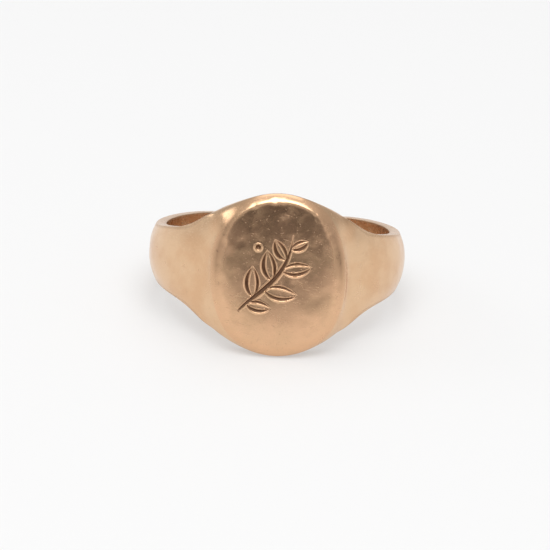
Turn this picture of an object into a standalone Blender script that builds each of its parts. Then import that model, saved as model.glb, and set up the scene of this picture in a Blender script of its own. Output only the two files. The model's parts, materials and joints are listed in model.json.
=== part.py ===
"""A worn oval signet ring in 9 carat rose gold, lying on its side.

The ring is drawn in its own frame, in millimetres: the finger's axis is Z, and the seal
face looks along -Y. One smooth blank gives every piece its outer shape. The blank is cut
into the parts that a goldsmith solders together, each with its own thin run of solder.
All of them hang on one empty, which lays the ring down the way it comes to rest: on the
lower rim of the head and on the back of the shank, with the seal face tipped upwards.
"""

import math

import bmesh
import bpy
from mathutils import Matrix, Vector

MM = 0.001

# Driving dimensions, in millimetres
BORE_RADIUS = 9.1
FACE_WIDTH = 9.9           # seal face, across the finger
FACE_LENGTH = 12.2         # and along the finger
FACE_RISE = 1.96           # seal face above the bore
SHOULDER_STEP = 0.55       # the head meets the shoulders this far outside the face
HEAD_HALF_WIDTH = 4.88     # half width of the band that runs under the head
TABLE_THICKNESS = 0.75
LINER_THICKNESS = 0.5
POCKET_WALL_ACROSS = 1.15  # head wall left beside the pocket, across the finger
POCKET_WALL_ALONG = 1.75   # and along the finger
SOLDER_THICKNESS = 0.06
JOINT_CLEARANCE = 0.02

# Shape of the head's rim: distance outside the face's edge, and depth below the face
HEAD_WALL = (0.50, 0.62)
RIM_CURVE = (0.02, 0.10)
RIM_INSIDE = (-0.22, 0.0)
OVAL_CORNER = 0.44         # how far the face's oval is cut back between its two axes
FACE_TURN = 3.0            # the face sits this many degrees askew on the band
FACE_SHIFT = 0.15          # and this far towards +X
HEAD_EDGE_INSET = 0.1      # the band's edge stays this far inside the face's end
HEAD_BLEND = 4.2           # how tightly the oval head meets the band: higher is tighter

# The band from the edge of the head (0) round to the middle of the back (1):
# share of the way, half width, thickness at the middle, thickness at the edge
BAND = (
    (0.0, 4.81, 2.00, 1.25),
    (0.1, 3.10, 1.72, 1.10),
    (0.2, 2.67, 1.50, 0.95),
    (0.4, 2.16, 1.35, 0.80),
    (0.7, 2.05, 1.20, 0.65),
    (1.0, 1.55, 1.12, 0.55),
)
HALF_WIDTH, MIDDLE, EDGE = 1, 2, 3
BAND_CROWN_POWER = 2.5     # how full the band's rounded outside is
BORE_WIDTH_SHARE = 0.985   # the bore is this share of the band's width
BORE_COLUMNS = (-1.0, -0.8, 0.0, 0.8, 1.0)
SHANK_JOINT_ANGLE = 105.0  # degrees from the face to the shoulder and shank joint

# Cage of the blank
HEAD_STEPS = 3             # steps from the middle of the head to its edge
BAND_STEPS = 15            # steps from the head to the back
ROWS = 2 * HEAD_STEPS
STATIONS = 2 * (HEAD_STEPS + BAND_STEPS)
SMOOTHING_LEVELS = 1
BORE_CREASE = 0.62
BAND_EDGE_CREASE = 0.4
OVAL_SIDES = 48
BORE_SIDES = 96

FACE_Y = -(BORE_RADIUS + FACE_RISE)
HEAD_WIDTH = FACE_WIDTH + 2 * SHOULDER_STEP
HEAD_ANGLE = math.degrees(math.asin(HEAD_WIDTH / 2 / (BORE_RADIUS + FACE_RISE)))
JOINT_WIDTH = SOLDER_THICKNESS + 2 * JOINT_CLEARANCE

ROSE_GOLD = ("rose_gold", (0.68, 0.36, 0.19), 0.24)
FACE_GOLD = ("face_gold", (0.62, 0.33, 0.18), 0.30)
SOLDER = ("solder", (0.70, 0.44, 0.22), 0.34)


def clear_scene():
    for old in list(bpy.data.objects):
        bpy.data.objects.remove(old)


def make_material(finish):
    name, colour, roughness = finish
    material = bpy.data.materials.new(name)
    material.use_nodes = True
    shader = material.node_tree.nodes["Principled BSDF"]
    shader.inputs["Base Color"].default_value = (*colour, 1.0)
    shader.inputs["Metallic"].default_value = 1.0
    shader.inputs["Roughness"].default_value = roughness
    return material


def band_size(share, column):
    """One size of the band, on a smooth curve that never overshoots its stations."""
    shares = [row[0] for row in BAND]
    sizes = [row[column] for row in BAND]
    last = len(BAND) - 1
    chords = [
        (sizes[i + 1] - sizes[i]) / (shares[i + 1] - shares[i])
        for i in range(last)
    ]
    slopes = [chords[0]]
    for before, after in zip(chords, chords[1:]):
        level = before * after <= 0
        slopes.append(0.0 if level else 2 * before * after / (before + after))
    slopes.append(0.0)
    i = 0
    while i < last - 1 and share > shares[i + 1]:
        i += 1
    length = shares[i + 1] - shares[i]
    t = (share - shares[i]) / length
    start = (2 * t**3 - 3 * t**2 + 1) * sizes[i] + (t**3 - 2 * t**2 + t) * length * slopes[i]
    end = (3 * t**2 - 2 * t**3) * sizes[i + 1] + (t**3 - t**2) * length * slopes[i + 1]
    return start + end


def station_angle(station):
    """Degrees from the middle of the head, positive towards +X."""
    if station > STATIONS // 2:
        return -station_angle(STATIONS - station)
    if station <= HEAD_STEPS:
        return HEAD_ANGLE * station / HEAD_STEPS
    return HEAD_ANGLE + (180 - HEAD_ANGLE) * (station - HEAD_STEPS) / BAND_STEPS


def band_share(angle):
    return max(0.0, (abs(angle) - HEAD_ANGLE) / (180 - HEAD_ANGLE))


def half_width(angle):
    """Half width of the ring: the oval head blended into the band."""
    share = band_share(angle)
    if share > 0:
        band = band_size(share, HALF_WIDTH)
    else:
        band = HEAD_HALF_WIDTH + (BAND[0][HALF_WIDTH] - HEAD_HALF_WIDTH) * abs(angle) / HEAD_ANGLE
    edge_radius = BORE_RADIUS + BAND[0][EDGE]
    across = edge_radius * math.sin(math.radians(abs(angle))) / (HEAD_WIDTH / 2)
    if share > 0 or across >= 1:
        return band
    oval = (FACE_LENGTH / 2 - HEAD_EDGE_INSET) * math.sqrt(1 - across**2)
    return (oval**HEAD_BLEND + band**HEAD_BLEND) ** (1 / HEAD_BLEND)


def polar(angle, radius, z):
    turn = math.radians(angle)
    return Vector((radius * math.sin(turn), -radius * math.cos(turn), z))


def head_outline():
    """The head's cage points in order, as steps across and along the finger."""
    n = HEAD_STEPS
    bottom = [(a, -n) for a in range(-n, n)]
    right = [(n, b) for b in range(-n, n)]
    top = [(a, n) for a in range(n, -n, -1)]
    left = [(-n, b) for b in range(n, -n, -1)]
    return bottom + right + top + left


def face_point(a, b, rim):
    """A cage point of the seal face: the square of steps pressed into an oval."""
    outside, drop = rim
    u, v = a / HEAD_STEPS, b / HEAD_STEPS
    across = (FACE_WIDTH / 2 + outside) * u * math.sqrt(1 - OVAL_CORNER * v * v)
    along = (FACE_LENGTH / 2 + outside) * v * math.sqrt(1 - OVAL_CORNER * u * u)
    turn = math.radians(FACE_TURN)
    x = across * math.cos(turn) - along * math.sin(turn) + FACE_SHIFT
    z = across * math.sin(turn) + along * math.cos(turn)
    return Vector((x, FACE_Y + drop, z))


def blank_cage():
    """Control cage of the whole ring, as a bmesh in millimetres."""
    bm = bmesh.new()
    smoothing = 3 / (2 + math.cos(math.radians(HEAD_ANGLE / HEAD_STEPS)))
    outside = {}
    bore = {}
    for i in range(STATIONS):
        angle = station_angle(i)
        share = band_share(angle)
        middle, edge = band_size(share, MIDDLE), band_size(share, EDGE)
        width = half_width(angle)
        under_face = i < HEAD_STEPS or i > STATIONS - HEAD_STEPS
        for j in range(ROWS + 1):
            if under_face and 0 < j < ROWS:
                continue
            across = 2 * j / ROWS - 1
            thickness = edge + (middle - edge) * (1 - abs(across) ** BAND_CROWN_POWER)
            radius = (BORE_RADIUS + thickness) * smoothing
            outside[i, j] = bm.verts.new(polar(angle, radius, across * width))
        for k, across in enumerate(BORE_COLUMNS):
            z = across * width * BORE_WIDTH_SHARE
            bore[i, k] = bm.verts.new(polar(angle, BORE_RADIUS * smoothing, z))
    head_spans = [i for i in range(-HEAD_STEPS, HEAD_STEPS)]
    last = len(BORE_COLUMNS) - 1
    soft_edges = {}
    for i in range(STATIONS):
        n = (i + 1) % STATIONS
        in_head = i in head_spans or i - STATIONS in head_spans
        if not in_head:
            for j in range(ROWS):
                bm.faces.new((outside[i, j], outside[n, j], outside[n, j + 1], outside[i, j + 1]))
        for k in range(last):
            bm.faces.new((bore[i, k], bore[i, k + 1], bore[n, k + 1], bore[n, k]))
        bm.faces.new((outside[i, 0], bore[i, 0], bore[n, 0], outside[n, 0]))
        bm.faces.new((outside[i, ROWS], outside[n, ROWS], bore[n, last], bore[i, last]))
        for k in (0, last):
            soft_edges[bore[i, k], bore[n, k]] = BORE_CREASE
        for j in (0, ROWS):
            soft_edges[outside[i, j], outside[n, j]] = 0.0 if in_head else BAND_EDGE_CREASE
    add_head(bm, outside)
    bmesh.ops.recalc_face_normals(bm, faces=bm.faces)
    crease = bm.edges.layers.float.new("crease_edge")
    for ends, amount in soft_edges.items():
        bm.edges.get(ends)[crease] = amount
    return bm


def add_head(bm, outside):
    """The head's wall, rim and seal face, from the band's edges up."""
    outline = head_outline()
    below = [outside[a % STATIONS, b + HEAD_STEPS] for a, b in outline]
    for rim in (HEAD_WALL, RIM_CURVE, RIM_INSIDE):
        ring = [bm.verts.new(face_point(a, b, rim)) for a, b in outline]
        for i in range(len(outline)):
            n = (i + 1) % len(outline)
            bm.faces.new((below[i], below[n], ring[n], ring[i]))
        below = ring
    face = dict(zip(outline, below))
    inner = range(1 - HEAD_STEPS, HEAD_STEPS)
    level = (RIM_INSIDE[0], 0.0)
    for a in inner:
        for b in inner:
            face[a, b] = bm.verts.new(face_point(a, b, level))
    steps = range(-HEAD_STEPS, HEAD_STEPS)
    for a in steps:
        for b in steps:
            bm.faces.new((face[a, b], face[a + 1, b], face[a + 1, b + 1], face[a, b + 1]))


def make_blank():
    """The smooth blank as a mesh in millimetres."""
    cage = bpy.data.meshes.new("blank_cage")
    bm = blank_cage()
    bm.to_mesh(cage)
    bm.free()
    holder = bpy.data.objects.new("blank_cage", cage)
    bpy.context.scene.collection.objects.link(holder)
    smooth = holder.modifiers.new("smooth", "SUBSURF")
    smooth.levels = SMOOTHING_LEVELS
    smooth.render_levels = SMOOTHING_LEVELS
    smooth.use_limit_surface = True
    view = bpy.context.evaluated_depsgraph_get()
    blank = bpy.data.meshes.new_from_object(holder.evaluated_get(view))
    bpy.data.objects.remove(holder)
    return blank


def resting_tilt(blank):
    """Angle that brings the head's lower rim and the shank's back to one level."""
    points = [vertex.co for vertex in blank.vertices]
    head = [p for p in points if p.y < -BORE_RADIUS / 2]
    back = [p for p in points if p.y > BORE_RADIUS / 2]
    low, high = 0.0, math.radians(45)
    while high - low > 1e-9:
        tilt = (low + high) / 2
        if lowest(head, tilt) < lowest(back, tilt):
            low = tilt
        else:
            high = tilt
    return tilt, lowest(head, tilt)


def lowest(points, tilt):
    return min(p.z * math.cos(tilt) - p.y * math.sin(tilt) for p in points)


def radial_cut(angle, sign, inset):
    """A cut through the finger's axis that keeps the side where the angle grows (+1)
    or falls (-1), set back from the joint's middle by the inset."""
    along = polar(angle + 90, 1, 0) * sign
    return along * inset, along


def level_cut(y, sign):
    """A cut level with the seal face that keeps the side away from it (+1) or near it."""
    return Vector((0, y, 0)), Vector((0, sign, 0))


def cut_blank(blank, cuts):
    """A closed copy of the blank, kept on the positive side of every cut."""
    bm = bmesh.new()
    bm.from_mesh(blank)
    for point, normal in cuts:
        everything = bm.verts[:] + bm.edges[:] + bm.faces[:]
        bmesh.ops.bisect_plane(
            bm, geom=everything, dist=1e-6, plane_co=point, plane_no=-normal, clear_outer=True
        )
        open_edges = [edge for edge in bm.edges if edge.is_boundary]
        bmesh.ops.holes_fill(bm, edges=open_edges, sides=0)
    bmesh.ops.recalc_face_normals(bm, faces=bm.faces)
    return bm


def oval_prism(across, along):
    """An upright oval prism from the finger's axis to beyond the seal face."""
    bm = bmesh.new()
    turns = [2 * math.pi * i / OVAL_SIDES for i in range(OVAL_SIDES)]
    rim = [bm.verts.new((across * math.cos(t), 0, along * math.sin(t))) for t in turns]
    bottom = bm.faces.new(rim)
    grown = bmesh.ops.extrude_face_region(bm, geom=[bottom])
    top = [item for item in grown["geom"] if isinstance(item, bmesh.types.BMVert)]
    bmesh.ops.translate(bm, verts=top, vec=(0, 2 * FACE_Y, 0))
    bmesh.ops.recalc_face_normals(bm, faces=bm.faces)
    return bm


def round_bar(radius):
    """A bar along the finger's axis, longer than the ring is wide."""
    bm = bmesh.new()
    bmesh.ops.create_cone(
        bm, cap_ends=True, segments=BORE_SIDES, radius1=radius, radius2=radius,
        depth=2 * FACE_LENGTH,
    )
    return bm


def add_object(name, bm, resting, finish=None):
    bmesh.ops.scale(bm, vec=(MM, MM, MM), verts=bm.verts)
    mesh = bpy.data.meshes.new(name)
    bm.to_mesh(mesh)
    bm.free()
    piece = bpy.data.objects.new(name, mesh)
    piece.parent = resting
    bpy.context.scene.collection.objects.link(piece)
    if finish is None:
        piece.hide_render = True
        piece.display_type = "WIRE"
    else:
        mesh.materials.append(finish)
        mesh.shade_smooth()
        mesh.set_sharp_from_angle(angle=math.radians(35))
    return piece


def apply_cutter(piece, cutter, operation):
    cut = piece.modifiers.new(cutter.name, "BOOLEAN")
    cut.object = cutter
    cut.operation = operation
    cut.solver = "EXACT"


def build():
    clear_scene()
    gold, face_gold, solder = [make_material(f) for f in (ROSE_GOLD, FACE_GOLD, SOLDER)]
    blank = make_blank()
    tilt, base = resting_tilt(blank)
    resting = bpy.data.objects.new("resting_pose", None)
    bpy.context.scene.collection.objects.link(resting)
    ys = [v.co.y * math.cos(tilt) + v.co.z * math.sin(tilt) for v in blank.vertices]
    middle = (min(ys) + max(ys)) / 2
    resting.matrix_world = Matrix.Translation((0, -middle * MM, -base * MM)) @ Matrix.Rotation(
        -tilt, 4, "X"
    )

    half_joint = JOINT_WIDTH / 2
    half_solder = SOLDER_THICKNESS / 2
    pocket_across = FACE_WIDTH / 2 - POCKET_WALL_ACROSS
    pocket_along = FACE_LENGTH / 2 - POCKET_WALL_ALONG
    table_joint = FACE_Y + TABLE_THICKNESS + half_joint

    def guide(name, bm):
        return add_object(name, bm, resting)

    pocket = guide("pocket_cutter", oval_prism(pocket_across, pocket_along))
    seam_out, seam_in = JOINT_CLEARANCE, JOINT_CLEARANCE + SOLDER_THICKNESS
    seam_outline = guide(
        "seam_outline", oval_prism(pocket_across - seam_out, pocket_along - seam_out)
    )
    seam_hole = guide("seam_hole", oval_prism(pocket_across - seam_in, pocket_along - seam_in))
    liner_outline = guide(
        "liner_outline", oval_prism(pocket_across - JOINT_WIDTH, pocket_along - JOINT_WIDTH)
    )
    liner_back = guide("liner_back", round_bar(BORE_RADIUS + LINER_THICKNESS))

    def piece(name, cuts, finish):
        return add_object(name, cut_blank(blank, cuts), resting, finish)

    piece("signet_table", [level_cut(table_joint - half_joint, -1)], face_gold)
    table_seam = piece(
        "table_solder",
        [level_cut(table_joint - half_solder, 1), level_cut(table_joint + half_solder, -1)],
        solder,
    )
    apply_cutter(table_seam, pocket, "DIFFERENCE")

    head_sides = [radial_cut(HEAD_ANGLE, -1, half_joint), radial_cut(-HEAD_ANGLE, 1, half_joint)]
    head = piece("head_collar", [level_cut(table_joint + half_joint, 1)] + head_sides, gold)
    apply_cutter(head, pocket, "DIFFERENCE")

    liner = piece("finger_liner", head_sides, gold)
    apply_cutter(liner, liner_outline, "INTERSECT")
    apply_cutter(liner, liner_back, "INTERSECT")
    liner_seam = piece("liner_solder", head_sides, solder)
    apply_cutter(liner_seam, seam_outline, "INTERSECT")
    apply_cutter(liner_seam, liner_back, "INTERSECT")
    apply_cutter(liner_seam, seam_hole, "DIFFERENCE")

    for side, sign in (("left", -1), ("right", 1)):
        head_angle, shank_angle = sign * HEAD_ANGLE, sign * SHANK_JOINT_ANGLE
        piece(
            f"{side}_shoulder",
            [radial_cut(head_angle, sign, half_joint), radial_cut(shank_angle, -sign, half_joint)],
            gold,
        )
        for joint, angle in (("shoulder", head_angle), ("shank", shank_angle)):
            own_half = polar(angle, 1, 0)
            piece(
                f"{side}_{joint}_solder",
                [
                    (Vector(), own_half),
                    radial_cut(angle, 1, -half_solder),
                    radial_cut(angle, -1, -half_solder),
                ],
                solder,
            )
    piece(
        "back_shank",
        [
            radial_cut(SHANK_JOINT_ANGLE, 1, half_joint),
            radial_cut(-SHANK_JOINT_ANGLE, -1, half_joint),
        ],
        gold,
    )
    bpy.data.meshes.remove(blank)


build()
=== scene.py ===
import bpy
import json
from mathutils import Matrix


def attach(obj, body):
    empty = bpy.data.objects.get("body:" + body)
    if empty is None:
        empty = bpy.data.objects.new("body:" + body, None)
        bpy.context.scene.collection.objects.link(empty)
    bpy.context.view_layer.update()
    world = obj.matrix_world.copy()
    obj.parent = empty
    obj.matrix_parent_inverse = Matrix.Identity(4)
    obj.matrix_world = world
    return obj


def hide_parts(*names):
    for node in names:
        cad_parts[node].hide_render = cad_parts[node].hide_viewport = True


bl_info = {
    "name": "Worn Signet Ring",
    "version": (1, 0, 0),
    "blender": (4, 5, 0),
    "location": "3D View > Sidebar > Ring",
    "description": "Models a worn rose gold signet ring around its measured frame",
    "category": "Object",
}

import json
import math

import bmesh
import bpy
import numpy as np
from bpy.props import FloatProperty, FloatVectorProperty, IntProperty, PointerProperty
from bpy.types import Operator, Panel, PropertyGroup
from mathutils import Matrix, Vector

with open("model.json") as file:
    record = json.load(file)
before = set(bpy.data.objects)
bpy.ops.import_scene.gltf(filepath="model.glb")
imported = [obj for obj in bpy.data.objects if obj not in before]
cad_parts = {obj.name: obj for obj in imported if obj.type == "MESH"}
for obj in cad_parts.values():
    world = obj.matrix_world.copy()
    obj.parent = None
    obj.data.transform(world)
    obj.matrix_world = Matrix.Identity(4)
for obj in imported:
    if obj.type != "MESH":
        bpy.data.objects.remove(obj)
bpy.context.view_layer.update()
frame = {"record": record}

MM = 0.001
SEAL_FACE = next(m for m in frame["record"]["mounts"] if m["name"] == "seal_face")
FACE_CENTRE = Vector(SEAL_FACE["pos_m"])
FACE_NORMAL = Vector(SEAL_FACE["axis"])
TILT = math.atan2(FACE_NORMAL.z, -FACE_NORMAL.y)

# The blank's cage: steps from the middle of the head to its edge, and on to the back
HEAD_STEPS = 3
BAND_STEPS = 15
STATIONS = 2 * (HEAD_STEPS + BAND_STEPS)
ROWS = 2 * HEAD_STEPS
BORE_SPANS = 4
BORE_COLUMNS = (-1.0, -0.8, 0.0, 0.8, 1.0)
BORE_WIDTH_SHARE = 0.985
BAND_CROWN_POWER = 2.5
BORE_CREASE = 0.62
BAND_EDGE_CREASE = 0.55
HEAD_BLEND = 4.2
HEAD_EDGE_INSET = 0.1 * MM

# The band from the edge of the head (0) round to the middle of the back (1), in mm:
# share of the way, half width, thickness at the middle, thickness at the edge
BAND = (
    (0.0, 4.81, 2.00, 1.25),
    (0.1, 3.10, 1.72, 1.10),
    (0.2, 2.67, 1.50, 0.95),
    (0.4, 2.16, 1.35, 0.80),
    (0.7, 2.05, 1.20, 0.65),
    (1.0, 1.55, 1.12, 0.55),
)
HALF_WIDTH, MIDDLE, EDGE = 1, 2, 3
SHANK_JOINT_ANGLE = 105.0  # degrees from the face to the shoulder and shank joint

# The head's rings above the band: distance outside the face's edge, depth below the face
HEAD_RINGS = ((0.50 * MM, 0.62 * MM), (0.02 * MM, 0.10 * MM), (-0.22 * MM, 0.0))
OVAL_CORNER = 0.44         # how far the cage's oval is cut back between its two axes
OVAL_POWER = 2.2           # the power that draws the same oval from its two axes
FACE_TURN = math.radians(3.0)
FACE_SHIFT = 0.15 * MM
FACE_DOME = 0.12 * MM      # the worn face falls away this far from its middle to its rim
RIM_WEAR_ACROSS = 0.45 * MM
RIM_WEAR_DEEP = 0.07 * MM
POCKET_WALL_ACROSS = 1.15 * MM
POCKET_WALL_ALONG = 1.75 * MM
OVAL_SIDES = 128
BAR_SIDES = 576

# Soft knocks, in mm: how many, smallest and largest size, greatest depth
DENT_SEED = 8
DENTS, DENT_SIZES, DENT_DEPTH = 200, (0.28, 0.9), 0.012
RIM_NICKS, NICK_SIZES, NICK_DEPTH = 34, (0.14, 0.32), 0.030

# Tarnish and painted shade, from 0 to 1: painted shade with some tarnish in the cove, a dark line
# on the rim, painted shade along the band's edges and inside the bore
COVE_SHADE_AND_TARNISH = 0.48
RIM_DARK_LINE = 0.10
EDGE_PAINTED_SHADE = 0.26
BORE_PAINTED_SHADE = 0.09

# Soft boxes: name, size and place in metres, and how bright each is to look at
SOFT_BOXES = (
    ("front_box", (0.46, 0.34), (0.0, -0.20, 0.45), 3.2),
    ("back_box", (0.40, 0.30), (0.0, 0.24, 0.45), 1.0),
    ("left_box", (0.24, 0.14), (-0.44, 0.10, 0.26), 2.0),
)
# The room: its grey at each height of the direction, from 0 (level) to 1 (straight up)
ROOM_GREYS = ((0.0, 0.93), (0.06, 0.90), (0.28, 0.52), (0.65, 0.55), (1.0, 0.85))
# What the floor gives off at the ring and far away, so that it meets the room's grey
FLOOR_GLOW, FAR_FLOOR_GLOW = 0.40, 0.62
FLOOR_SIZE = (4, 4)
WALL_SIZE, WALL_PLACE = (0.42, 0.30), (0, -0.60, 0.140)
WALL_DARK, WALL_BRIGHT = (0.07, 0.06, 0.062, 1), (0.80, 0.80, 0.80, 1)

# The camera: in degrees, and where it stands and what it takes in
CAMERA_ELEVATION = 23.8
CAMERA_YAW = -0.2
CAMERA_ROLL = -2.4
CAMERA_DISTANCE = 250 * MM
FRAME_WIDTH = 44.85 * MM
AIM_HEIGHT = 5.5 * MM
AIM_ACROSS = -0.22 * MM
AIM_UP = -3.30 * MM
SENSOR = 36.0


class RingSizes(PropertyGroup):
    """The sizes that a maker would change."""

    bore_radius: FloatProperty(
        name="Bore Radius", description="Inside radius of the ring",
        default=9.1 * MM, unit="LENGTH", precision=5,
    )
    face_width: FloatProperty(
        name="Face Width", description="Seal face across the finger",
        default=9.9 * MM, unit="LENGTH", precision=5,
    )
    face_length: FloatProperty(
        name="Face Length", description="Seal face along the finger",
        default=12.2 * MM, unit="LENGTH", precision=5,
    )
    face_rise: FloatProperty(
        name="Face Rise", description="Seal face above the bore",
        default=1.96 * MM, unit="LENGTH", precision=5,
    )
    shoulder_step: FloatProperty(
        name="Shoulder Step", description="How far outside the face the head meets the shoulders",
        default=0.55 * MM, unit="LENGTH", precision=5,
    )
    head_half_width: FloatProperty(
        name="Band Under Head", description="Half width of the band that runs under the head",
        default=4.88 * MM, unit="LENGTH", precision=5,
    )
    table_thickness: FloatProperty(
        name="Table Thickness", description="Thickness of the engraved plate",
        default=0.75 * MM, unit="LENGTH", precision=5,
    )
    liner_thickness: FloatProperty(
        name="Liner Thickness", description="Thickness of the plate against the finger",
        default=0.5 * MM, unit="LENGTH", precision=5,
    )
    solder_width: FloatProperty(
        name="Solder Width", description="Width of a run of solder",
        default=0.06 * MM, unit="LENGTH", precision=5,
    )
    groove_depth: FloatProperty(
        name="Groove Depth", description="Depth of the deepest engraved line",
        default=0.17 * MM, unit="LENGTH", precision=5,
    )
    smoothness: IntProperty(
        name="Smoothness", description="Subdivision levels of the blank",
        default=4, min=1, max=5,
    )


class RingColours(PropertyGroup):
    """The colours of the metal and of the stage."""

    gold: FloatVectorProperty(
        name="Rose Gold", description="Clean rose gold",
        subtype="COLOR", size=3, min=0, max=1, default=(0.765, 0.52, 0.325),
    )
    face_gold: FloatVectorProperty(
        name="Face Gold", description="The warmer gold of the seal face",
        subtype="COLOR", size=3, min=0, max=1, default=(0.775, 0.48, 0.29),
    )
    warm_gold: FloatVectorProperty(
        name="Warm Gold", description="Rose gold where handling has warmed it",
        subtype="COLOR", size=3, min=0, max=1, default=(0.715, 0.455, 0.27),
    )
    # colour of the tarnish in the cuts and of the painted shade in the cove, along the band's
    # edges and inside the bore
    tarnish: FloatVectorProperty(
        name="Tarnish", description="Dark tarnish held in cuts and corners",
        subtype="COLOR", size=3, min=0, max=1, default=(0.10, 0.050, 0.032),
    )
    floor: FloatVectorProperty(
        name="Floor", description="Pale floor",
        subtype="COLOR", size=3, min=0, max=1, default=(0.42, 0.42, 0.42),
    )


# Shape of the blank, in the ring's own frame: the finger's axis is Z, the face looks to -Y


def band_size(share, column):
    """One size of the band, on a smooth curve that never overshoots its stations."""
    shares = [row[0] for row in BAND]
    sizes = [row[column] * MM for row in BAND]
    last = len(BAND) - 1
    chords = [
        (sizes[i + 1] - sizes[i]) / (shares[i + 1] - shares[i])
        for i in range(last)
    ]
    slopes = [chords[0]]
    for before, after in zip(chords, chords[1:]):
        level = before * after <= 0
        slopes.append(0.0 if level else 2 * before * after / (before + after))
    slopes.append(0.0)
    i = 0
    while i < last - 1 and share > shares[i + 1]:
        i += 1
    length = shares[i + 1] - shares[i]
    t = (share - shares[i]) / length
    start = (2 * t**3 - 3 * t**2 + 1) * sizes[i] + (t**3 - 2 * t**2 + t) * length * slopes[i]
    end = (3 * t**2 - 2 * t**3) * sizes[i + 1] + (t**3 - t**2) * length * slopes[i + 1]
    return start + end


def head_half(sizes):
    """Half the width of the head where it meets the shoulders."""
    return sizes.face_width / 2 + sizes.shoulder_step


def head_angle(sizes):
    reach = sizes.bore_radius + sizes.face_rise
    return math.degrees(math.asin(head_half(sizes) / reach))


def station_angle(sizes, station):
    """Degrees from the middle of the head, positive towards +X."""
    head = head_angle(sizes)
    steps = abs(station)
    if steps <= HEAD_STEPS:
        angle = head * steps / HEAD_STEPS
    else:
        angle = head + (180 - head) * (steps - HEAD_STEPS) / BAND_STEPS
    return math.copysign(angle, station)


def band_share(sizes, angle):
    head = head_angle(sizes)
    return max(0.0, (abs(angle) - head) / (180 - head))


def half_width(sizes, angle):
    """Half width of the ring: the oval head blended into the band."""
    share = band_share(sizes, angle)
    if share > 0:
        return band_size(share, HALF_WIDTH)
    edge = BAND[0][HALF_WIDTH] * MM
    band = sizes.head_half_width
    band += (edge - band) * abs(angle) / head_angle(sizes)
    edge_radius = sizes.bore_radius + BAND[0][EDGE] * MM
    across = edge_radius * math.sin(math.radians(abs(angle))) / head_half(sizes)
    if across >= 1:
        return band
    oval = (sizes.face_length / 2 - HEAD_EDGE_INSET) * math.sqrt(1 - across**2)
    return (oval**HEAD_BLEND + band**HEAD_BLEND) ** (1 / HEAD_BLEND)


def polar(angle, radius, z):
    turn = math.radians(angle)
    return Vector((radius * math.sin(turn), -radius * math.cos(turn), z))


def band_point(sizes, station, row):
    angle = station_angle(sizes, station)
    share = band_share(sizes, angle)
    middle, edge = band_size(share, MIDDLE), band_size(share, EDGE)
    across = row / HEAD_STEPS
    thickness = edge + (middle - edge) * (1 - abs(across) ** BAND_CROWN_POWER)
    return polar(angle, sizes.bore_radius + thickness, across * half_width(sizes, angle))


def bore_point(sizes, station, column):
    angle = station_angle(sizes, station)
    z = BORE_COLUMNS[column] * half_width(sizes, angle) * BORE_WIDTH_SHARE
    return polar(angle, sizes.bore_radius, z)


def face_point(sizes, a, b, lift):
    """A cage point of the head: the square of steps pressed into the oval face."""
    outside, drop = HEAD_RINGS[lift - 1]
    u, v = a / HEAD_STEPS, b / HEAD_STEPS
    across = u * math.sqrt(1 - OVAL_CORNER * v * v)
    along = v * math.sqrt(1 - OVAL_CORNER * u * u)
    if max(abs(a), abs(b)) < HEAD_STEPS:
        drop = 0.0
    else:
        worn = min(1.0, max(0.0, 0.5 - 0.6 * along))
        drop += RIM_WEAR_DEEP * worn
        if lift == len(HEAD_RINGS):
            outside -= RIM_WEAR_ACROSS * worn
    drop += FACE_DOME * min(1.0, 1.3 * across**2 + along**2)
    across *= sizes.face_width / 2 + outside
    along *= sizes.face_length / 2 + outside
    x = across * math.cos(FACE_TURN) - along * math.sin(FACE_TURN) + FACE_SHIFT
    z = across * math.sin(FACE_TURN) + along * math.cos(FACE_TURN)
    return Vector((x, -(sizes.bore_radius + sizes.face_rise - drop), z))


# Modelling helpers


def edit(obj, elements):
    """Opens obj in edit mode with nothing selected, choosing by "VERT", "EDGE" or "FACE"."""
    bpy.ops.object.select_all(action="DESELECT")
    bpy.context.view_layer.objects.active = obj
    obj.select_set(True)
    bpy.ops.object.mode_set(mode="EDIT")
    bpy.ops.mesh.select_mode(type=elements)
    bpy.ops.mesh.select_all(action="DESELECT")


def close_edit():
    bpy.ops.object.mode_set(mode="OBJECT")


def choose(obj, kind, test):
    """Selects the vertices, edges or faces of the open mesh that pass the test."""
    bm = bmesh.from_edit_mesh(obj.data)
    for item in getattr(bm, kind):
        item.select_set(bool(test(item)))
    bm.select_flush_mode()
    bmesh.update_edit_mesh(obj.data)


def apply_modifier(obj, kind, **settings):
    bpy.context.view_layer.objects.active = obj
    modifier = obj.modifiers.new(kind.lower(), kind)
    for name, value in settings.items():
        setattr(modifier, name, value)
    bpy.ops.object.modifier_apply(modifier=modifier.name)


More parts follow.
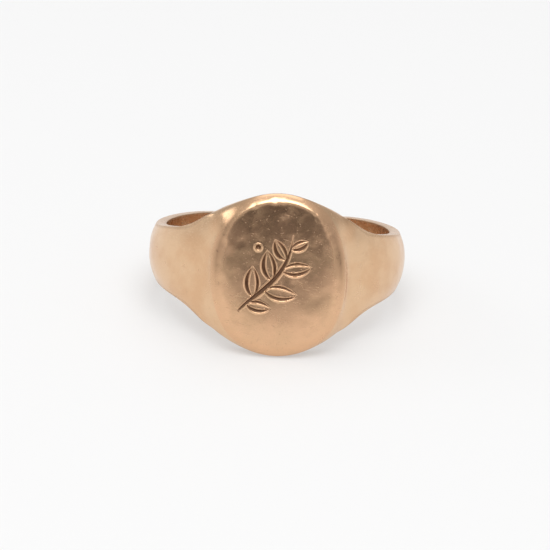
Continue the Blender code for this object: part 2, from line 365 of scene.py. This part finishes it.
def model_blank(sizes):
    """The whole ring as one smooth body, from a plain tube whose head is raised.

    The tube's outside starts at twice the bore's radius, so that its two sides are easy
    to tell apart until press_blank moves every point to its place."""
    bpy.ops.object.select_all(action="DESELECT")
    bpy.ops.mesh.primitive_cylinder_add(
        vertices=STATIONS, radius=2 * sizes.bore_radius, depth=ROWS * MM,
        end_fill_type="NOTHING",
    )
    blank = bpy.context.object
    blank.name = "blank"
    edit(blank, "EDGE")
    choose(blank, "edges", lambda e: abs(e.verts[0].co.z - e.verts[1].co.z) > MM)
    bpy.ops.mesh.subdivide(number_cuts=ROWS - 1)
    rim_height = ROWS / 2 * MM
    choose(
        blank, "edges",
        lambda e: all(abs(abs(v.co.z) - rim_height) < MM / 2 for v in e.verts),
    )
    bpy.ops.mesh.extrude_edges_move()
    bpy.ops.transform.resize(value=(0.5, 0.5, 1.0))
    bpy.ops.mesh.bridge_edge_loops(number_cuts=BORE_SPANS - 1)
    bpy.ops.mesh.select_mode(type="FACE")
    step = 360 / STATIONS

    def on_head(face):
        middle = face.calc_center_median()
        angle = math.degrees(math.atan2(middle.x, -middle.y))
        outside = middle.xy.length > 1.8 * sizes.bore_radius
        return outside and abs(angle) < HEAD_STEPS * step

    choose(blank, "faces", on_head)
    bm = bmesh.from_edit_mesh(blank.data)
    bm.verts.layers.int.new("lift")
    bmesh.update_edit_mesh(blank.data)
    for _ in HEAD_RINGS:
        bpy.ops.mesh.extrude_region_move()
        bm = bmesh.from_edit_mesh(blank.data)
        lift = bm.verts.layers.int["lift"]
        for vertex in bm.verts:
            vertex[lift] += int(vertex.select)
        bmesh.update_edit_mesh(blank.data)
    press_blank(blank, sizes)
    bpy.ops.mesh.select_all(action="SELECT")
    bpy.ops.mesh.normals_make_consistent(inside=False)
    close_edit()
    apply_modifier(
        blank, "SUBSURF", levels=sizes.smoothness, render_levels=sizes.smoothness,
        use_limit_surface=True,
    )
    knock_about(blank, sizes)
    return blank


def read_points(piece):
    """The piece's points in mm, one row each."""
    points = np.empty(len(piece.data.vertices) * 3, np.float32)
    piece.data.vertices.foreach_get("co", points)
    return points.reshape(-1, 3).astype(float) / MM


def write_points(piece, points):
    piece.data.vertices.foreach_set("co", (points * MM).astype(np.float32).ravel())
    piece.data.update()


def knock_about(blank, sizes):
    """Years of soft knocks: shallow dents all over the outside, more along the face's rim."""
    points = read_points(blank)
    normals = np.empty(len(points) * 3, np.float32)
    blank.data.vertices.foreach_get("normal", normals)
    normals = normals.reshape(-1, 3)
    chance = np.random.default_rng(DENT_SEED)
    reach = (sizes.bore_radius + sizes.face_rise) / MM
    knocks = []
    for turn, share in chance.uniform((-180, -1), (180, 1), (DENTS, 2)):
        spot = polar(turn, reach, share * half_width(sizes, turn) / MM)
        knocks.append((spot, DENT_SIZES, DENT_DEPTH))
    for turn in chance.uniform(-math.pi, math.pi, RIM_NICKS):
        across = sizes.face_width / MM / 2 * math.cos(turn)
        along = sizes.face_length / MM / 2 * math.sin(turn)
        spot = (across + FACE_SHIFT / MM, -reach, along)
        knocks.append((spot, NICK_SIZES, NICK_DEPTH))
    sunk = np.zeros(len(points))
    for spot, sizes_mm, depth in knocks:
        size = chance.uniform(*sizes_mm)
        struck = points[np.argmin(np.linalg.norm(points - spot, axis=1))]
        gap = np.linalg.norm(points - struck, axis=1) / size
        sunk += depth * chance.uniform(0.3, 1.0) * np.exp(-(gap**2))
    write_points(blank, points - normals * sunk[:, None])


def outside_face(points, sizes):
    """Distance in mm outside the oval of the seal face, for points of the head."""
    x = points[:, 0] - FACE_SHIFT / MM
    across = x * math.cos(FACE_TURN) + points[:, 2] * math.sin(FACE_TURN)
    along = points[:, 2] * math.cos(FACE_TURN) - x * math.sin(FACE_TURN)
    across = np.abs(across) / (sizes.face_width / MM / 2)
    along = np.abs(along) / (sizes.face_length / MM / 2)
    size = (across**OVAL_POWER + along**OVAL_POWER) ** (1 / OVAL_POWER)
    reach = np.hypot(x, points[:, 2])
    depth = points[:, 1] + (sizes.bore_radius + sizes.face_rise) / MM
    gap = reach * (1 - 1 / np.maximum(size, 0.05))
    return np.where(depth < 1.6, gap, 9.0)


def press_blank(blank, sizes):
    """Moves each point of the open tube to its place on the ring and sets its creases."""
    bm = bmesh.from_edit_mesh(blank.data)
    lift = bm.verts.layers.int["lift"]
    step = 360 / STATIONS
    span = ROWS / BORE_SPANS * MM
    address = {}
    for vertex in bm.verts:
        x, y, z = vertex.co
        station = round(math.degrees(math.atan2(x, -y)) / step)
        if vertex.co.xy.length > 1.5 * sizes.bore_radius:
            address[vertex] = ("outside", station, round(z / MM), vertex[lift])
        else:
            address[vertex] = ("bore", station, round(z / span) + BORE_SPANS // 2, 0)
    crease = bm.edges.layers.float.new("crease_edge")
    for edge in bm.edges:
        (side, here, row, level), (other, there, other_row, _) = [address[v] for v in edge.verts]
        if side != other or row != other_row or level or here == there:
            continue
        if side == "bore" and row in (0, BORE_SPANS):
            edge[crease] = BORE_CREASE
        in_head = max(abs(here), abs(there)) <= HEAD_STEPS
        if side == "outside" and abs(row) == HEAD_STEPS and not in_head:
            edge[crease] = BAND_EDGE_CREASE
    smoothing = 3 / (2 + math.cos(math.radians(head_angle(sizes) / HEAD_STEPS)))
    for vertex, (side, station, row, level) in address.items():
        if level:
            vertex.co = face_point(sizes, station, row, level)
            continue
        place = band_point if side == "outside" else bore_point
        vertex.co = place(sizes, station, row)
        vertex.co.xy *= smoothing
    bmesh.update_edit_mesh(blank.data)


def radial_cut(angle, sign, inset):
    """A cut through the finger's axis that keeps the side where the angle grows (+1)
    or falls (-1), set back by the inset."""
    along = polar(angle + 90, 1, 0) * sign
    return along * inset, along


def level_cut(y, sign):
    """A cut level with the seal face that keeps the side away from it (+1) or near it."""
    return Vector((0, y, 0)), Vector((0, sign, 0))


def cut_from(blank, name, cuts):
    """A closed copy of the blank, kept on the positive side of every cut."""
    piece = blank.copy()
    piece.data = blank.data.copy()
    piece.name = name
    bpy.context.scene.collection.objects.link(piece)
    edit(piece, "VERT")
    for point, normal in cuts:
        bpy.ops.mesh.select_all(action="SELECT")
        bpy.ops.mesh.bisect(
            plane_co=point, plane_no=-normal, use_fill=True, clear_outer=True, threshold=1e-8
        )
    close_edit()
    return piece


def oval_prism(sizes, across, along):
    """A cutter with an oval section, from the finger's axis to beyond the seal face."""
    reach = sizes.bore_radius + 2 * sizes.face_rise
    bpy.ops.object.select_all(action="DESELECT")
    bpy.ops.mesh.primitive_cylinder_add(
        vertices=OVAL_SIDES, radius=1, depth=reach, location=(0, -reach / 2, 0),
        rotation=(math.pi / 2, 0, 0), scale=(across, along, 1),
    )
    cutter = bpy.context.object
    bpy.ops.object.transform_apply(location=True, rotation=True, scale=True)
    return cutter


def round_bar(sizes, radius):
    bpy.ops.object.select_all(action="DESELECT")
    bpy.ops.mesh.primitive_cylinder_add(
        vertices=BAR_SIDES, radius=radius, depth=2 * sizes.face_length
    )
    return bpy.context.object


def trim(piece, cutter, operation):
    """Cuts the piece with the cutter, which is used up."""
    apply_modifier(piece, "BOOLEAN", object=cutter, operation=operation, solver="EXACT")
    bpy.data.objects.remove(cutter)


def lay_down(piece):
    """Takes a finished piece from the ring's own frame to where the ring lies."""
    sizes = bpy.context.scene.ring_sizes
    reach = sizes.bore_radius + sizes.face_rise
    piece.data.transform(
        Matrix.Translation(FACE_CENTRE)
        @ Matrix.Rotation(-TILT, 4, "X")
        @ Matrix.Translation((-FACE_SHIFT, reach, 0))
    )


def finish_piece(piece, material, sharp=40):
    piece.data.materials.clear()
    piece.data.materials.append(material)
    bpy.ops.object.select_all(action="DESELECT")
    piece.select_set(True)
    bpy.context.view_layer.objects.active = piece
    bpy.ops.object.shade_smooth_by_angle(angle=math.radians(sharp))
    lay_down(piece)
    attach(piece, "root")
    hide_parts(piece.name.removesuffix("_look"))


# Materials


class Wire:
    """A number in a material. Arithmetic on it adds the Math nodes that it needs."""

    def __init__(self, sheet, socket):
        self.sheet = sheet
        self.socket = socket

    def math(self, operation, first, second):
        return self.sheet.node("ShaderNodeMath", {"operation": operation}, {0: first, 1: second})

    def __add__(self, other):
        return self.math("ADD", self, other)

    def __radd__(self, other):
        return self.math("ADD", other, self)

    def __sub__(self, other):
        return self.math("SUBTRACT", self, other)

    def __rsub__(self, other):
        return self.math("SUBTRACT", other, self)

    def __mul__(self, other):
        return self.math("MULTIPLY", self, other)

    def highest(self, other):
        return self.math("MAXIMUM", self, other)

    def lowest(self, other):
        return self.math("MINIMUM", self, other)


class Sheet:
    """One material and its nodes."""

    def __init__(self, name):
        self.material = bpy.data.materials.new(name)
        self.material.use_nodes = True
        self.nodes = self.material.node_tree.nodes
        self.shader = self.nodes["Principled BSDF"]
        place = self.node("ShaderNodeTexCoord", output="Object")
        self.place = self.node(
            "ShaderNodeVectorMath", {"operation": "SCALE"}, {0: place, "Scale": 1 / MM}
        )

    def set(self, node, sockets):
        for name, value in sockets.items():
            if isinstance(value, Wire):
                self.material.node_tree.links.new(value.socket, node.inputs[name])
            else:
                node.inputs[name].default_value = value

    def node(self, kind, settings=None, sockets=None, output=0):
        node = self.nodes.new(kind)
        for name, value in (settings or {}).items():
            setattr(node, name, value)
        self.set(node, sockets or {})
        return Wire(self, node.outputs[output])

    def ramp(self, value, low, high):
        """0 below low, 1 above high."""
        return self.node(
            "ShaderNodeMapRange", {"interpolation_type": "SMOOTHSTEP"},
            {"Value": value, "From Min": low, "From Max": high},
        )

    def noise(self, scale, detail=2.0, roughness=0.5, place=None, distortion=0.0):
        return self.node(
            "ShaderNodeTexNoise", {},
            {
                "Vector": place or self.place, "Scale": scale, "Detail": detail,
                "Roughness": roughness, "Distortion": distortion,
            },
        )

    def attribute(self, name):
        return self.node("ShaderNodeAttribute", {"attribute_name": name}, output="Fac")

    def blend(self, factor, first, second):
        """Colour from first to second as factor goes from 0 to 1."""
        return self.node(
            "ShaderNodeMix", {"data_type": "RGBA"},
            {"Factor": factor, 6: first, 7: second}, output=2,
        )

    def scratches(self, turn, length, width, rarity):
        """Thin scratches along one direction, patchy, as a mask."""
        turned = self.node(
            "ShaderNodeMapping", {"vector_type": "TEXTURE"},
            {"Vector": self.place, "Rotation": turn, "Scale": (length, width, width)},
        )
        lines = self.noise(1.0, 0.0, 0.4, place=turned, distortion=0.12)
        return self.ramp(lines, rarity, rarity + 0.06)


def colour(value):
    return (*value, 1.0)


def gold_material(name, wear=1.0, face=False):
    """Rose gold worn by handling: mottled, hazed, finely scratched and pitted, and darkened by an
    attribute that holds tarnish in the cuts and painted shade in the cove, along the band's edges
    and in the bore.
    """
    colours = bpy.context.scene.ring_colours
    sheet = Sheet(name)
    mottle = sheet.ramp(sheet.noise(0.42, 3.0, 0.55), 0.38, 0.66)
    haze = sheet.ramp(sheet.noise(0.95, 4.0, 0.62, distortion=0.4), 0.42, 0.72)
    grime = sheet.ramp(sheet.noise(2.6, 4.0, 0.7, distortion=0.6), 0.56, 0.74)
    marks = sheet.scratches((0.0, 0.6, 0.1), 4.6, 0.055, 0.785)
    marks = marks.highest(sheet.scratches((0.0, -0.9, 0.0), 3.4, 0.045, 0.80))
    marks = marks.highest(sheet.scratches((0.0, 0.15, -0.1), 5.0, 0.06, 0.80))
    pits = sheet.ramp(sheet.noise(5.5, 1.0, 0.5), 0.76, 0.82)
    # the attribute holds tarnish in the cuts and painted shade in the cove, along the band's
    # edges and in the bore
    tarnish = sheet.attribute("tarnish")
    clean, warm = (colours.face_gold, colours.warm_gold) if face else (
        colours.gold, colours.warm_gold
    )
    metal = sheet.blend(mottle, colour(clean), colour(warm))
    # darkening by that attribute's tarnish and painted shade, and by grime and pits
    dull = tarnish * (0.8 + grime * 0.6) + grime * (0.14 if face else 0.06) * wear + pits * 0.3
    metal = sheet.blend(dull.lowest(0.95), metal, colour(colours.tarnish))
    roughness = 0.20 + haze * 0.08 + marks * 0.08 * wear + tarnish * 0.30
    waves = sheet.noise(0.8, 2.0, 0.5) * (1.6 if face else 3.4)
    height = 1 - marks * 0.5 - pits * 0.8 + waves
    bump = sheet.node(
        "ShaderNodeBump", {},
        {"Strength": 1.0, "Distance": 0.0045 * MM * wear, "Height": height},
    )
    sheet.set(
        sheet.shader,
        {"Base Color": metal, "Metallic": 1.0, "Roughness": roughness, "Normal": bump},
    )
    return sheet.material


def shared_material(name, make):
    return bpy.data.materials.get(name) or make()


def worn_gold():
    return shared_material("worn rose gold", lambda: gold_material("worn rose gold"))


def solder():
    return shared_material("gold solder", lambda: gold_material("gold solder", wear=0.6))


def blank_body():
    """The blank, modelled once and kept until every piece is cut from it."""
    blank = bpy.data.objects.get("blank")
    if blank is None:
        blank = model_blank(bpy.context.scene.ring_sizes)
    return blank


# The engraving: a leafy sprig, in mm across and along the face

PUNCH = (-1.5, 2.3)
PUNCH_RADIUS = 0.24
PUNCH_DEPTH = 1.1          # as a share of the deepest engraved line
STEM_HALF_WIDTH = 0.19
CUT_REACH = 0.34           # the face's mesh is made finer this near a cut
FACE_SKIN = 0.12           # what lies this near the face's level is taken as the face


def sprig():
    """The cuts of the engraved sprig, as (points, half width) in mm on the face."""
    stem = [(-3.3, -3.3), (-1.9, -1.3), (0.9, -0.6), (1.2, 3.3)]
    cuts = [(curve(stem), STEM_HALF_WIDTH)]
    for share, side, length in (
        (0.20, -1, 2.0), (0.30, 1, 2.5), (0.44, -1, 2.7), (0.56, 1, 2.5),
        (0.70, -1, 2.4), (0.80, 1, 1.9), (0.90, -1, 1.5),
    ):
        root, ahead = along_curve(stem, share)
        angle = math.atan2(ahead[1], ahead[0]) + side * math.radians(52)
        tip = root + length * Vector((math.cos(angle), math.sin(angle)))
        outward = side * Vector((-math.sin(angle), math.cos(angle)))
        for bow, width in ((0.40, 0.16), (-0.30, 0.13)):
            middle = root.lerp(tip, 0.45) + outward * bow * length
            cuts.append((curve([root, middle, tip]), width))
    return cuts


def curve(points, count=24):
    """Points along a Bezier curve of any degree."""
    out = []
    for i in range(count + 1):
        t = i / count
        level = [Vector(p) for p in points]
        while len(level) > 1:
            level = [a.lerp(b, t) for a, b in zip(level, level[1:])]
        out.append(level[0])
    return out


def along_curve(points, share):
    ends = [curve(points, 100)[round(100 * s)] for s in (share, share + 0.02)]
    return ends[0], (ends[1] - ends[0]).normalized()


def hump(value, middle, spread):
    """1 at the middle, falling to almost nothing two spreads away."""
    return np.exp(-(((value - middle) / spread) ** 2))


def groove(gap, width):
    """Depth of a V cut, 1 at its deepest, with a thin raised burr on each side."""
    cut = np.clip(1 - gap / width, 0, 1)
    return cut - 0.24 * hump(gap, 1.12 * width, 0.32 * width)


def nearest(spots, path):
    """Distance from each spot to the path, and the share of the way along it."""
    best = np.full(len(spots), 1e9)
    share = np.zeros(len(spots))
    path = np.array([tuple(p) for p in path])
    for i in range(len(path) - 1):
        start, way = path[i], path[i + 1] - path[i]
        t = np.clip(((spots - start) @ way) / (way @ way), 0, 1)
        gap = np.linalg.norm(spots - start - t[:, None] * way, axis=1)
        closer = gap < best
        best[closer] = gap[closer]
        share[closer] = (i + t[closer]) / (len(path) - 1)
    return best, share


def engrave(table, sizes):
    """Cuts the sprig and one punched dot into the face, and darkens what they sink."""
    cuts = sprig()
    top = -(sizes.bore_radius + sizes.face_rise) / MM + FACE_SKIN
    centres = np.empty(len(table.data.polygons) * 3, np.float32)
    table.data.polygons.foreach_get("center", centres)
    centres = centres.reshape(-1, 3).astype(float) / MM
    closest = np.min([nearest(centres[:, (0, 2)], path)[0] for path, _ in cuts], axis=0)
    from_punch = np.linalg.norm(centres[:, (0, 2)] - PUNCH, axis=1)
    closest = np.minimum(closest, from_punch - 0.1)
    picked = set(np.flatnonzero((centres[:, 1] < top) & (closest < CUT_REACH)).tolist())
    edit(table, "FACE")
    choose(table, "faces", lambda face: face.index in picked)
    bpy.ops.mesh.subdivide(number_cuts=2)
    close_edit()
    points = read_points(table)
    on_face = points[:, 1] < top
    spots = points[on_face][:, (0, 2)]
    depth = PUNCH_DEPTH * groove(np.linalg.norm(spots - PUNCH, axis=1), PUNCH_RADIUS)
    for path, width in cuts:
        gap, share = nearest(spots, path)
        swell = np.clip(np.sin(np.pi * np.clip(share, 0.02, 0.98)) ** 0.6, 0.15, 1)
        cut = groove(gap, width * swell) * swell * width / STEM_HALF_WIDTH
        depth = np.where(np.abs(cut) > np.abs(depth), cut, depth)
    points[on_face, 1] += depth * sizes.groove_depth / MM
    write_points(table, points)
    # painted shade in the cove, along the band's edges and in the bore, with tarnish sunk into
    # the cuts
    stain_and_shade = place_tarnish_and_shade(points, sizes)
    stain_and_shade[on_face] = np.maximum(stain_and_shade[on_face], np.clip(depth * 3.0, 0, 1))
    set_tarnish_and_shade(table, stain_and_shade)


def set_tarnish_and_shade(piece, values):
    attribute = piece.data.attributes.get("tarnish")
    if attribute is None:
        attribute = piece.data.attributes.new("tarnish", "FLOAT", "POINT")
    attribute.data.foreach_set("value", values.astype(np.float32))


def place_tarnish_and_shade(points, sizes):
    """Tarnish and painted shade: painted shade with some tarnish in the cove beside the head,
    a thin dark line on the rim, painted shade along the band's edges and inside the bore. The
    distances are in mm."""
    gap = outside_face(points, sizes)
    right = np.clip(points[:, 0] / 4, -1, 1)
    upper = hump(points[:, 2], 1.6, 2.3)
    # painted shade with some tarnish in the cove beside the head, a little darker on the right
    # and strongest a little above the head's middle
    cove = (COVE_SHADE_AND_TARNISH + 0.03 * right) * upper * hump(gap, -0.05, 0.45)
    # a thin dark line along the face's rim, strongest a little above the head's middle
    rim = RIM_DARK_LINE * upper * hump(gap, -0.02, 0.08)
    turns = np.arange(-180, 181)
    widths = [half_width(sizes, turn) / MM for turn in turns]
    turn = np.degrees(np.arctan2(points[:, 0], -points[:, 1]))
    side = np.abs(points[:, 2]) - np.interp(turn, turns, widths)
    # painted shade along both edges of the band, away from the head
    edge = EDGE_PAINTED_SHADE * hump(side, -0.10, 0.10) * (gap > 2)
    # painted shade inside the bore
    radius = np.hypot(points[:, 0], points[:, 1])
    bore = np.where(radius < sizes.bore_radius / MM + 0.15, BORE_PAINTED_SHADE, 0.0)
    return cove + rim + edge + bore


# Paints a piece's tarnish and painted shade
def paint_tarnish_and_shade(piece, sizes):
    set_tarnish_and_shade(piece, place_tarnish_and_shade(read_points(piece), sizes))


# Operators


class RING_OT_seal_table(Operator):
    """Cut the oval plate from the blank and engrave its face"""

    bl_idname = "ring.seal_table"
    bl_label = "Seal Table"

    def execute(self, context):
        sizes = context.scene.ring_sizes
        joint = -(sizes.bore_radius + sizes.face_rise) + sizes.table_thickness
        table = cut_from(blank_body(), "signet_table_look", [level_cut(joint, -1)])
        engrave(table, sizes)
        face = gold_material("worn seal face", face=True)
        finish_piece(table, face, sharp=60)
        return {"FINISHED"}


def solder_joint(sizes):
    return -(sizes.bore_radius + sizes.face_rise) + sizes.table_thickness + sizes.solder_width


class RING_OT_head(Operator):
    """Cut the collar under the table, its liner and the solder between them"""

    bl_idname = "ring.head"
    bl_label = "Head"

    def execute(self, context):
        sizes = context.scene.ring_sizes
        angle = head_angle(sizes)
        inset = sizes.solder_width / 2
        sides = [radial_cut(angle, -1, inset), radial_cut(-angle, 1, inset)]
        collar = cut_from(
            blank_body(), "head_collar_look", [level_cut(solder_joint(sizes), 1)] + sides
        )
        across = sizes.face_width / 2 - POCKET_WALL_ACROSS
        along = sizes.face_length / 2 - POCKET_WALL_ALONG
        trim(collar, oval_prism(sizes, across, along), "DIFFERENCE")
        paint_tarnish_and_shade(collar, sizes)
        finish_piece(collar, worn_gold())
        liner_back = sizes.bore_radius + sizes.liner_thickness
        liner = cut_from(blank_body(), "finger_liner_look", sides)
        seam = sizes.solder_width
        trim(liner, oval_prism(sizes, across - seam, along - seam), "INTERSECT")
        trim(liner, round_bar(sizes, liner_back), "INTERSECT")
        paint_tarnish_and_shade(liner, sizes)
        finish_piece(liner, worn_gold())
        run = cut_from(blank_body(), "liner_solder_look", sides)
        trim(run, oval_prism(sizes, across, along), "INTERSECT")
        trim(run, round_bar(sizes, liner_back), "INTERSECT")
        trim(run, oval_prism(sizes, across - seam, along - seam), "DIFFERENCE")
        paint_tarnish_and_shade(run, sizes)
        finish_piece(run, solder())
        return {"FINISHED"}


class RING_OT_shoulders(Operator):
    """Cut the two tapered shoulders from the blank"""

    bl_idname = "ring.shoulders"
    bl_label = "Shoulders"

    def execute(self, context):
        sizes = context.scene.ring_sizes
        inset = sizes.solder_width / 2
        for side, sign in (("left", -1), ("right", 1)):
            cuts = [
                radial_cut(sign * head_angle(sizes), sign, inset),
                radial_cut(sign * SHANK_JOINT_ANGLE, -sign, inset),
            ]
            shoulder = cut_from(blank_body(), f"{side}_shoulder_look", cuts)
            paint_tarnish_and_shade(shoulder, sizes)
            finish_piece(shoulder, worn_gold())
        return {"FINISHED"}


class RING_OT_shank(Operator):
    """Cut the half hoop that goes round the back of the finger"""

    bl_idname = "ring.shank"
    bl_label = "Shank"

    def execute(self, context):
        sizes = context.scene.ring_sizes
        inset = sizes.solder_width / 2
        cuts = [
            radial_cut(SHANK_JOINT_ANGLE, 1, inset),
            radial_cut(-SHANK_JOINT_ANGLE, -1, inset),
        ]
        shank = cut_from(blank_body(), "back_shank_look", cuts)
        paint_tarnish_and_shade(shank, sizes)
        finish_piece(shank, worn_gold())
        return {"FINISHED"}


class RING_OT_solder(Operator):
    """Run solder between the table, the collar, the shoulders and the shank"""

    bl_idname = "ring.solder"
    bl_label = "Solder"

    def execute(self, context):
        sizes = context.scene.ring_sizes
        joint = solder_joint(sizes)
        run = cut_from(
            blank_body(), "table_solder_look",
            [level_cut(joint - sizes.solder_width, 1), level_cut(joint, -1)],
        )
        paint_tarnish_and_shade(run, sizes)
        finish_piece(run, solder())
        inset = -sizes.solder_width / 2
        for side, sign in (("left", -1), ("right", 1)):
            for joint_name, angle in (
                ("shoulder", sign * head_angle(sizes)),
                ("shank", sign * SHANK_JOINT_ANGLE),
            ):
                cuts = [
                    (Vector(), polar(angle, 1, 0)),
                    radial_cut(angle, 1, inset),
                    radial_cut(angle, -1, inset),
                ]
                run = cut_from(blank_body(), f"{side}_{joint_name}_solder_look", cuts)
                paint_tarnish_and_shade(run, sizes)
                finish_piece(run, solder())
        bpy.data.objects.remove(blank_body())
        return {"FINISHED"}


def plane(name, size, location, rotation, material):
    bpy.ops.object.select_all(action="DESELECT")
    bpy.ops.mesh.primitive_plane_add(size=1, location=location, rotation=rotation)
    card = bpy.context.object
    card.name = name
    card.scale = (*size, 1)
    card.data.materials.append(material)
    return card


def light_room(context):
    """A room that is bright at floor level, dimmer above, and bright again overhead."""
    world = bpy.data.worlds.new("studio")
    context.scene.world = world
    world.use_nodes = True
    nodes, links = world.node_tree.nodes, world.node_tree.links
    direction = nodes.new("ShaderNodeTexCoord")
    parts = nodes.new("ShaderNodeSeparateXYZ")
    links.new(direction.outputs["Generated"], parts.inputs[0])
    ramp = nodes.new("ShaderNodeValToRGB")
    ramp.color_ramp.interpolation = "EASE"
    stops = ramp.color_ramp.elements
    for position, _ in ROOM_GREYS[1:-1]:
        stops.new(position)
    for stop, (_, grey) in zip(stops, ROOM_GREYS):
        stop.color = (grey, grey, grey, 1)
    links.new(parts.outputs["Z"], ramp.inputs[0])
    links.new(ramp.outputs[0], nodes["Background"].inputs["Color"])


def soft_box(context, name, size, place, glow_level):
    """A rectangular light aimed at the ring, as bright to look at as glow_level."""
    light = bpy.data.lights.new(name, "AREA")
    light.shape = "RECTANGLE"
    light.size, light.size_y = size
    light.energy = glow_level * math.pi * size[0] * size[1]
    lamp = bpy.data.objects.new(name, light)
    lamp.location = place
    lamp.rotation_euler = Vector(place).to_track_quat("Z", "Y").to_euler()
    context.scene.collection.objects.link(lamp)


def dim_wall():
    """A dark oval patch that fades into the bright room, for the seal face to mirror.

    A plane's own coordinates run from -500 to 500, whatever its size."""
    sheet = Sheet("dim wall")
    from_middle = sheet.node(
        "ShaderNodeVectorMath", {"operation": "LENGTH"}, {0: sheet.place}, output="Value"
    )
    bright = sheet.ramp(from_middle, 310, 500)
    glow = sheet.blend(bright, WALL_DARK, WALL_BRIGHT)
    sheet.set(
        sheet.shader,
        {
            "Base Color": (0, 0, 0, 1), "Roughness": 1.0, "Emission Color": glow,
            "Emission Strength": 1.0,
        },
    )
    return sheet.material


class RING_OT_stage(Operator):
    """Set the pale floor, the soft lights, the dark wall in front and the camera"""

    bl_idname = "ring.stage"
    bl_label = "Stage"

    def execute(self, context):
        colours = context.scene.ring_colours
        pale = Sheet("pale floor")
        from_ring = pale.node(
            "ShaderNodeVectorMath", {"operation": "LENGTH"}, {0: pale.place}, output="Value"
        )
        far = pale.ramp(from_ring, 50, 225)
        glow = pale.blend(far, colour([FLOOR_GLOW] * 3), colour([FAR_FLOOR_GLOW] * 3))
        pale.set(
            pale.shader,
            {
                "Base Color": colour(colours.floor), "Roughness": 0.9,
                "Emission Color": glow, "Emission Strength": 1.0,
            },
        )
        plane("floor", FLOOR_SIZE, (0, 0, 0), (0, 0, 0), pale.material)
        wall = plane("dim_wall", WALL_SIZE, WALL_PLACE, (math.pi / 2, 0, 0), dim_wall())
        wall.visible_camera = False
        wall.visible_diffuse = False
        light_room(context)
        for box in SOFT_BOXES:
            soft_box(context, *box)
        self.add_camera(context)
        context.scene.view_settings.view_transform = "Standard"
        return {"FINISHED"}

    def add_camera(self, context):
        """Looks down at the ring, aimed off its middle by AIM_ACROSS and AIM_UP."""
        sizes = context.scene.ring_sizes
        reach = sizes.bore_radius + sizes.face_rise
        bore_centre = FACE_CENTRE - FACE_NORMAL * reach
        target = Vector((0, bore_centre.y, AIM_HEIGHT))
        elevation, yaw = math.radians(CAMERA_ELEVATION), math.radians(CAMERA_YAW)
        back = Vector((
            math.sin(yaw) * math.cos(elevation),
            -math.cos(yaw) * math.cos(elevation),
            math.sin(elevation),
        ))
        camera_data = bpy.data.cameras.new("camera")
        camera_data.sensor_width = SENSOR
        camera_data.lens = SENSOR * CAMERA_DISTANCE / FRAME_WIDTH
        camera_data.clip_start = 0.01
        camera_data.clip_end = 20
        camera = bpy.data.objects.new("camera", camera_data)
        turn = (-back).to_track_quat("-Z", "Y").to_matrix().to_4x4()
        turn = turn @ Matrix.Rotation(math.radians(-CAMERA_ROLL), 4, "Z")
        right, up = turn.col[0].xyz, turn.col[1].xyz
        aim = target + right * AIM_ACROSS + up * AIM_UP
        place = target + back * CAMERA_DISTANCE
        look = (aim - place).to_track_quat("-Z", "Y").to_matrix().to_4x4()
        camera.matrix_world = Matrix.Translation(place) @ look @ Matrix.Rotation(
            math.radians(-CAMERA_ROLL), 4, "Z"
        )
        context.scene.collection.objects.link(camera)
        context.scene.camera = camera


class RING_PT_panel(Panel):
    """Lists the pieces of the ring, its sizes and its colours"""

    bl_label = "Signet Ring"
    bl_idname = "RING_PT_panel"
    bl_space_type = "VIEW_3D"
    bl_region_type = "UI"
    bl_category = "Ring"

    def draw(self, context):
        for group in (context.scene.ring_sizes, context.scene.ring_colours):
            for name in group.__annotations__:
                self.layout.prop(group, name)
        for operator in MAKING_ORDER:
            self.layout.operator(operator.bl_idname)


MAKING_ORDER = (
    RING_OT_seal_table,
    RING_OT_head,
    RING_OT_shoulders,
    RING_OT_shank,
    RING_OT_solder,
    RING_OT_stage,
)
CLASSES = (RingSizes, RingColours, *MAKING_ORDER, RING_PT_panel)


def register():
    for cls in CLASSES:
        bpy.utils.register_class(cls)
    bpy.types.Scene.ring_sizes = PointerProperty(type=RingSizes)
    bpy.types.Scene.ring_colours = PointerProperty(type=RingColours)


def unregister():
    del bpy.types.Scene.ring_colours
    del bpy.types.Scene.ring_sizes
    for cls in reversed(CLASSES):
        bpy.utils.unregister_class(cls)


def main():
    register()
    for operator in MAKING_ORDER:
        group, name = operator.bl_idname.split(".")
        getattr(getattr(bpy.ops, group), name)()


if __name__ == "__main__":
    main()
